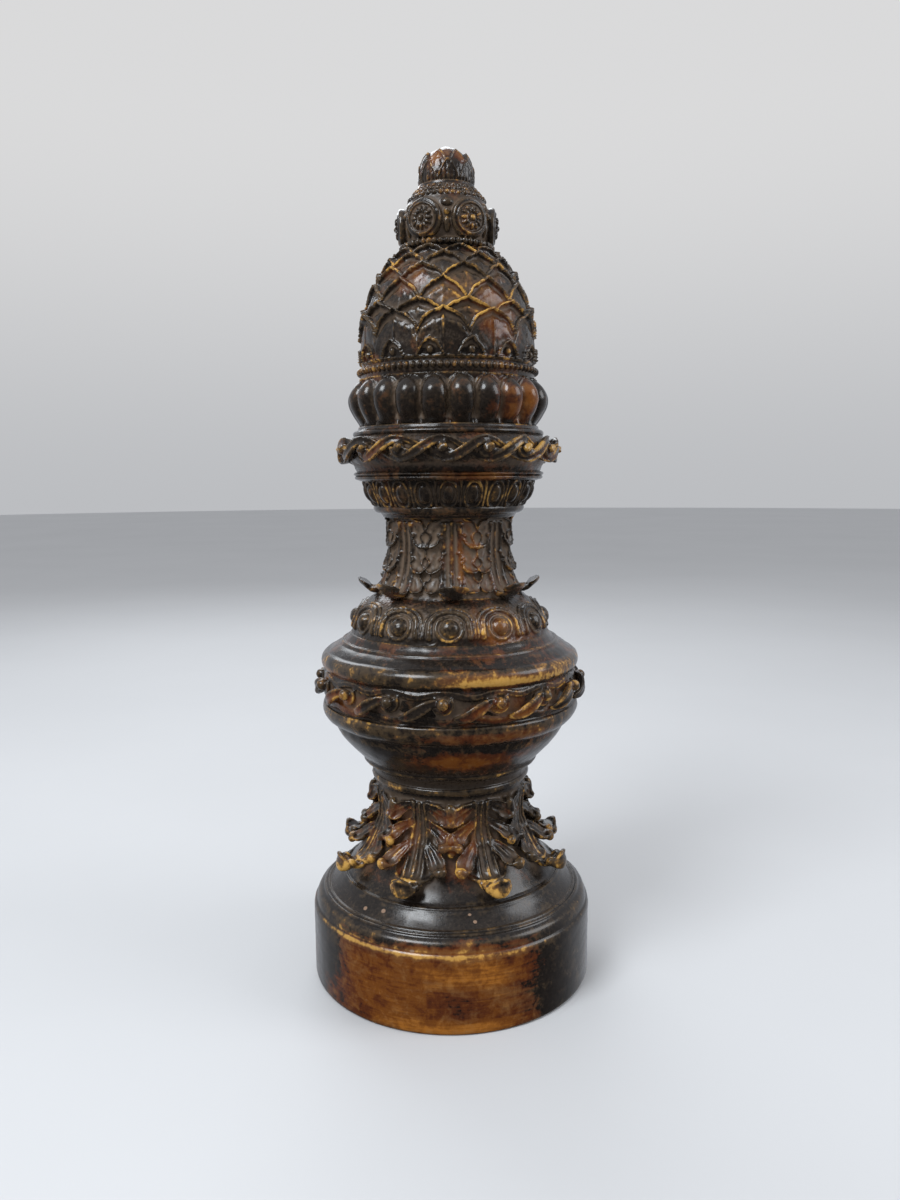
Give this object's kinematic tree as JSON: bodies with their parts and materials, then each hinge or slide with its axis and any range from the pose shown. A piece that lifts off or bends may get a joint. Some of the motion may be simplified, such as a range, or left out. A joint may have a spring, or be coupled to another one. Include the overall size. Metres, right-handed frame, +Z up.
{
  "type": "finial",
  "caption": "Standing table-top finial, cast whole: drum base, leafed necks, ribbon and egg bands, gadroons, scaled cone, crown of roundels and a bud, in dark antique glaze.",
  "frame": {"origin": "centre of the flat underside of the drum base", "axes": "+Z up along the finial's axis, -Y towards the side that the picture shows, +X to that side's right"},
  "size_m": [0.1226, 0.1226, 0.349],
  "materials": {
    "glaze": "cast composition under a glossy near-black and amber antique glaze, gold-yellow on the worn high spots, dusty taupe in the hollows"
  },
  "bodies": {
    "root": {"finial": "glaze"}
  },
  "joints": []
}
